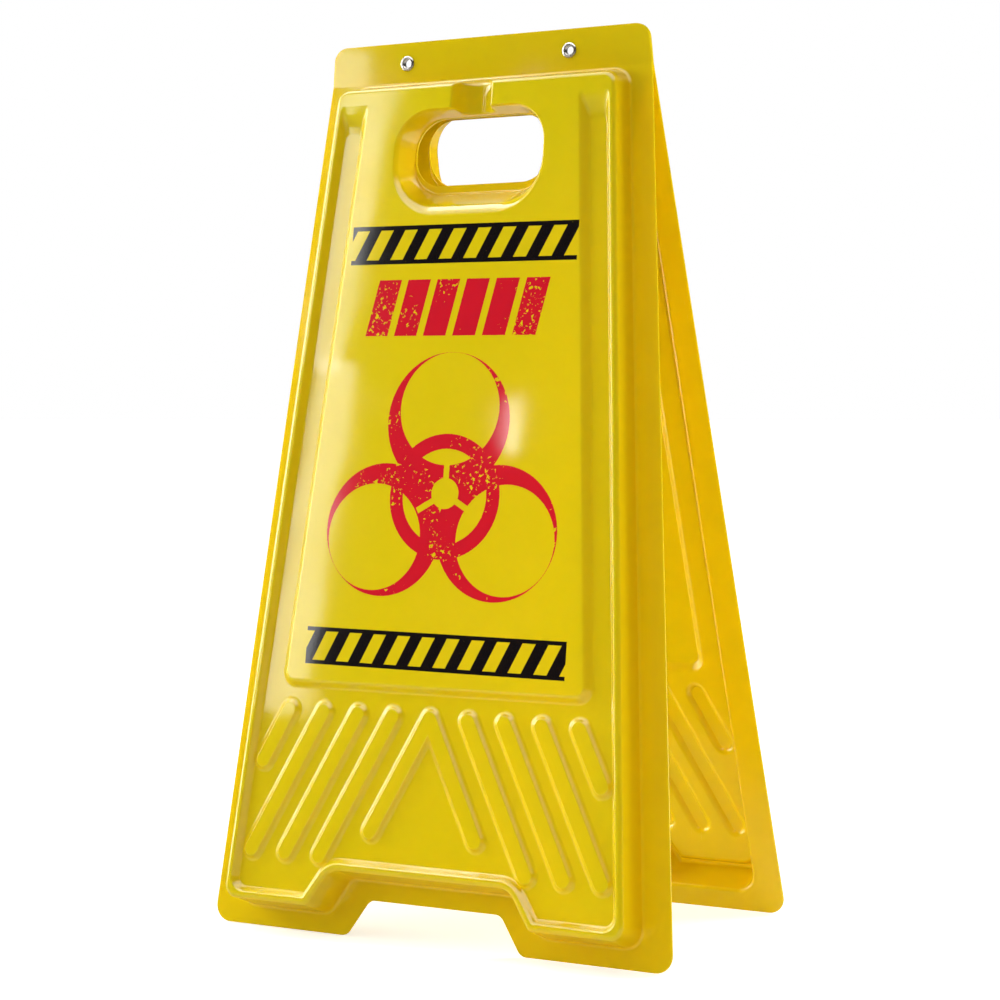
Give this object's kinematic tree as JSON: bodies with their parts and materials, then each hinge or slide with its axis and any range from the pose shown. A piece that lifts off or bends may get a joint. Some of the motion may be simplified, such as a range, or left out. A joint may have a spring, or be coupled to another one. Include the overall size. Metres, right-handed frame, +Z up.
{
  "type": "folding floor warning sign",
  "caption": "Yellow A-frame floor sign of thermoformed plastic sheets joined at the top by eyelets, with striped bands and a red hazard figure.",
  "frame": {"origin": "on the floor, midway between the feet of the two panels", "axes": "+Z up, +X along the fold, and the front panel faces -Y"},
  "size_m": [0.3678, 0.2436, 0.6391],
  "materials": {
    "sheet": "glossy thermoformed sheet, printed on its raised field",
    "eyelet": "nickel plated, satin"
  },
  "bodies": {
    "hinge_strip": {"front_hinge_strip": "sheet", "rear_hinge_strip": "sheet", "eyelet_left": "eyelet", "eyelet_right": "eyelet"},
    "front": {"front_panel": "sheet"},
    "rear": {"rear_panel": "sheet"}
  },
  "joints": [
    {"name": "front_fold", "type": "hinge", "parent": "hinge_strip", "child": "front", "pos_m": [0, -0.00135, 0.61058], "axis": [1, 0, 0], "range_deg": [0, 9]},
    {"name": "rear_fold", "type": "hinge", "parent": "hinge_strip", "child": "rear", "pos_m": [0, 0.00135, 0.61058], "axis": [-1, 0, 0], "range_deg": [0, 9]}
  ]
}
